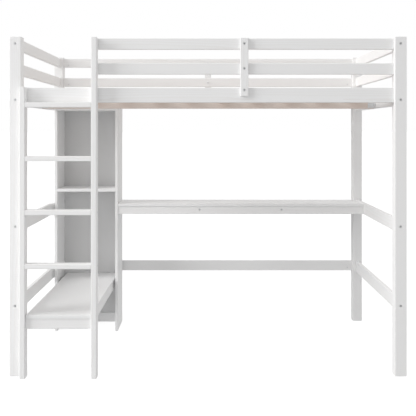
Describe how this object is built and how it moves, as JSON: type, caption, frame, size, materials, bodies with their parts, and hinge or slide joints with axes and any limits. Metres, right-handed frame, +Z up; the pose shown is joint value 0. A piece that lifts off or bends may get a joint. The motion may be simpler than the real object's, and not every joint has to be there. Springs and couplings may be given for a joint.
{
  "type": "loft bed with desk",
  "caption": "White wooden twin loft bed with guard rails, a front ladder over a low step platform, an open shelf unit and a long desk under a slatted deck.",
  "frame": {"origin": "middle of the footprint on the floor, ladder included", "axes": "+X along the bed, towards the end away from the ladder; +Y from the ladder side to the wall side; +Z up"},
  "size_m": [2.019, 1.106, 1.726],
  "materials": {
    "white_pine": "solid pine, white lacquer, satin",
    "white_board": "fibreboard, white lacquer, satin",
    "raw_pine": "planed pine, unfinished",
    "zinc_steel": "zinc-plated steel"
  },
  "bodies": {
    "root": {"front_left_post": "white_pine", "rear_left_post": "white_pine", "left_end_upper_guard_rail": "white_pine", "left_end_lower_guard_rail": "white_pine", "left_end_bed_rail": "white_pine", "left_end_mid_rail": "white_pine", "left_end_low_rail": "white_pine", "front_right_post": "white_pine", "rear_right_post": "white_pine", "right_end_upper_guard_rail": "white_pine", "right_end_lower_guard_rail": "white_pine", "right_end_bed_rail": "white_pine", "right_end_mid_rail": "white_pine", "right_end_low_rail": "white_pine", "front_side_rail": "white_pine", "front_upper_guard_rail": "white_pine", "front_lower_guard_rail": "white_pine", "front_guard_upright": "white_pine", "rear_side_rail": "white_pine", "rear_upper_guard_rail": "white_pine", "rear_lower_guard_rail": "white_pine", "rear_guard_upright": "white_pine", "rear_mid_rail": "white_pine", "rear_low_rail": "white_pine", "ladder_short_stile": "white_pine", "ladder_tall_stile": "white_pine", "ladder_rung_1": "white_pine", "ladder_rung_2": "white_pine", "ladder_rung_3": "white_pine", "ladder_rung_4": "white_pine", "platform_front_apron": "white_pine", "platform_left_rail": "white_pine", "platform_right_rail": "white_pine", "platform_rear_cleat": "white_pine", "desk_apron": "white_pine", "desk_batten_1": "white_pine", "desk_batten_2": "white_pine", "platform_board": "white_board", "shelf_left_panel": "white_board", "shelf_right_panel": "white_board", "shelf_top_panel": "white_board", "shelf_middle_board": "white_board", "shelf_back_panel": "white_board", "shelf_plinth": "white_board", "desk_top": "white_board", "front_ledger": "raw_pine", "rear_ledger": "raw_pine", "centre_beam": "raw_pine", "slat_01": "raw_pine", "slat_02": "raw_pine", "slat_03": "raw_pine", "slat_04": "raw_pine", "slat_05": "raw_pine", "slat_06": "raw_pine", "slat_07": "raw_pine", "slat_08": "raw_pine", "slat_09": "raw_pine", "slat_10": "raw_pine", "left_beam_bracket": "zinc_steel", "right_beam_bracket": "zinc_steel"}
  },
  "joints": []
}
